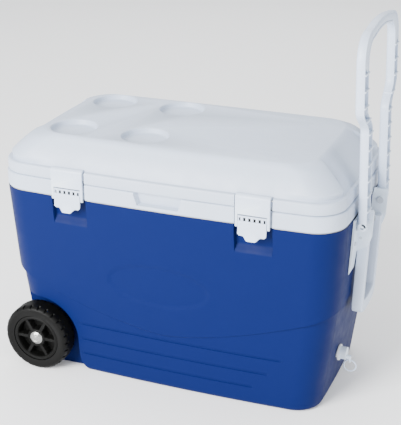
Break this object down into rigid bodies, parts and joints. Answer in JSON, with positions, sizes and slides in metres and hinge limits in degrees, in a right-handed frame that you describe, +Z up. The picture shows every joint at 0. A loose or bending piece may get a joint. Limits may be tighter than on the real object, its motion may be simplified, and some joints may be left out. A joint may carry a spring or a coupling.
{
  "type": "wheeled cooler box",
  "caption": "Hard cooler box with a domed lid and cup recesses, front latches, a fold-up tow handle, hanging carry handles, wheels on an axle and a drain plug.",
  "frame": {"origin": "middle of the tub's flat bottom, on the floor", "axes": "X along the box, with the tow handle at +X and the wheels at -X; +Y from the latches at the front to the hinges at the back; Z up"},
  "size_m": [0.747, 0.3964, 0.7401],
  "materials": {
    "blue_plastic": "satin",
    "white_plastic": "satin",
    "black_plastic": "satin",
    "steel": "satin",
    "rubber": "matte",
    "foam": "matte"
  },
  "bodies": {
    "cooler_body": {"tub_shell": "blue_plastic", "tub_foam": "foam", "tub_liner": "white_plastic", "rim_collar": "white_plastic", "latch_keeper_left": "white_plastic", "latch_keeper_right": "white_plastic", "hinge_base_left": "white_plastic", "hinge_base_right": "white_plastic", "hinge_pin_left": "steel", "hinge_pin_right": "steel", "hinge_base_screws": "steel", "handle_bracket_front": "white_plastic", "handle_bracket_rear": "white_plastic", "left_bracket_front": "white_plastic", "left_bracket_rear": "white_plastic", "bracket_screws": "steel", "tow_pin_front": "steel", "tow_pin_rear": "steel", "right_grip_pins": "steel", "left_grip_pins": "steel", "axle": "steel", "axle_sleeve": "white_plastic", "wheel_spacers": "steel", "axle_cap_front": "steel", "axle_cap_rear": "steel", "drain_spout": "white_plastic", "drain_seal": "rubber", "drain_nut": "white_plastic"},
    "lid": {"lid_shell": "white_plastic", "lid_foam": "foam", "lid_liner": "white_plastic", "lid_gasket": "rubber", "hinge_flap_left": "white_plastic", "hinge_flap_right": "white_plastic", "hinge_flap_screws": "steel", "latch_pin_left": "steel", "latch_pin_right": "steel"},
    "latch_left": {"latch_plate_left": "white_plastic", "lever_pin_left": "steel"},
    "latch_right": {"latch_plate_right": "white_plastic", "lever_pin_right": "steel"},
    "lever_left": {"latch_lever_left": "white_plastic"},
    "lever_right": {"latch_lever_right": "white_plastic"},
    "tow_arm": {"tow_handle": "white_plastic"},
    "right_grip": {"carry_handle_right": "white_plastic"},
    "left_grip": {"carry_handle_left": "white_plastic"},
    "wheel_front": {"tyre_front": "black_plastic", "hub_front": "black_plastic"},
    "wheel_rear": {"tyre_rear": "black_plastic", "hub_rear": "black_plastic"},
    "plug": {"drain_plug": "white_plastic", "plug_seal": "rubber"},
    "ring": {"drain_ring": "white_plastic"}
  },
  "joints": [
    {"name": "lid_hinge", "type": "hinge", "parent": "cooler_body", "child": "lid", "pos_m": [0, 0.19407, 0.42], "axis": [-1, 0, 0], "range_deg": [0, 100]},
    {"name": "latch_left_swing", "type": "hinge", "parent": "lid", "child": "latch_left", "pos_m": [-0.1845, -0.18235, 0.4398], "axis": [-1, 0, 0], "range_deg": [0, 110]},
    {"name": "lever_left_pull", "type": "hinge", "parent": "latch_left", "child": "lever_left", "pos_m": [-0.1845, -0.18835, 0.4053], "axis": [-1, 0, 0], "range_deg": [0, 60]},
    {"name": "latch_right_swing", "type": "hinge", "parent": "lid", "child": "latch_right", "pos_m": [0.1845, -0.18235, 0.4398], "axis": [-1, 0, 0], "range_deg": [0, 110]},
    {"name": "lever_right_pull", "type": "hinge", "parent": "latch_right", "child": "lever_right", "pos_m": [0.1845, -0.18835, 0.4053], "axis": [-1, 0, 0], "range_deg": [0, 60]},
    {"name": "tow_handle_swing", "type": "hinge", "parent": "cooler_body", "child": "tow_arm", "pos_m": [0.3595, 0, 0.374], "axis": [0, 1, 0], "range_deg": [0, 182]},
    {"name": "right_grip_lift", "type": "hinge", "parent": "cooler_body", "child": "right_grip", "pos_m": [0.3515, 0, 0.341], "axis": [0, -1, 0], "range_deg": [0, 95]},
    {"name": "left_grip_lift", "type": "hinge", "parent": "cooler_body", "child": "left_grip", "pos_m": [-0.3515, 0, 0.341], "axis": [0, 1, 0], "range_deg": [0, 95]},
    {"name": "front_wheel_spin", "type": "hinge", "parent": "cooler_body", "child": "wheel_front", "pos_m": [-0.275, -0.1678, 0.07], "axis": [0, 1, 0], "continuous": true},
    {"name": "rear_wheel_spin", "type": "hinge", "parent": "cooler_body", "child": "wheel_rear", "pos_m": [-0.275, 0.1678, 0.07], "axis": [0, 1, 0], "continuous": true},
    {"name": "drain_plug_pull", "type": "slide", "parent": "cooler_body", "child": "plug", "axis": [1, 0, 0], "range_m": [0, 0.025]},
    {"name": "drain_ring_swing", "type": "hinge", "parent": "plug", "child": "ring", "pos_m": [0.34154, -0.045, 0.0725], "axis": [1, 0, 0], "range_deg": [-60, 60]}
  ]
}
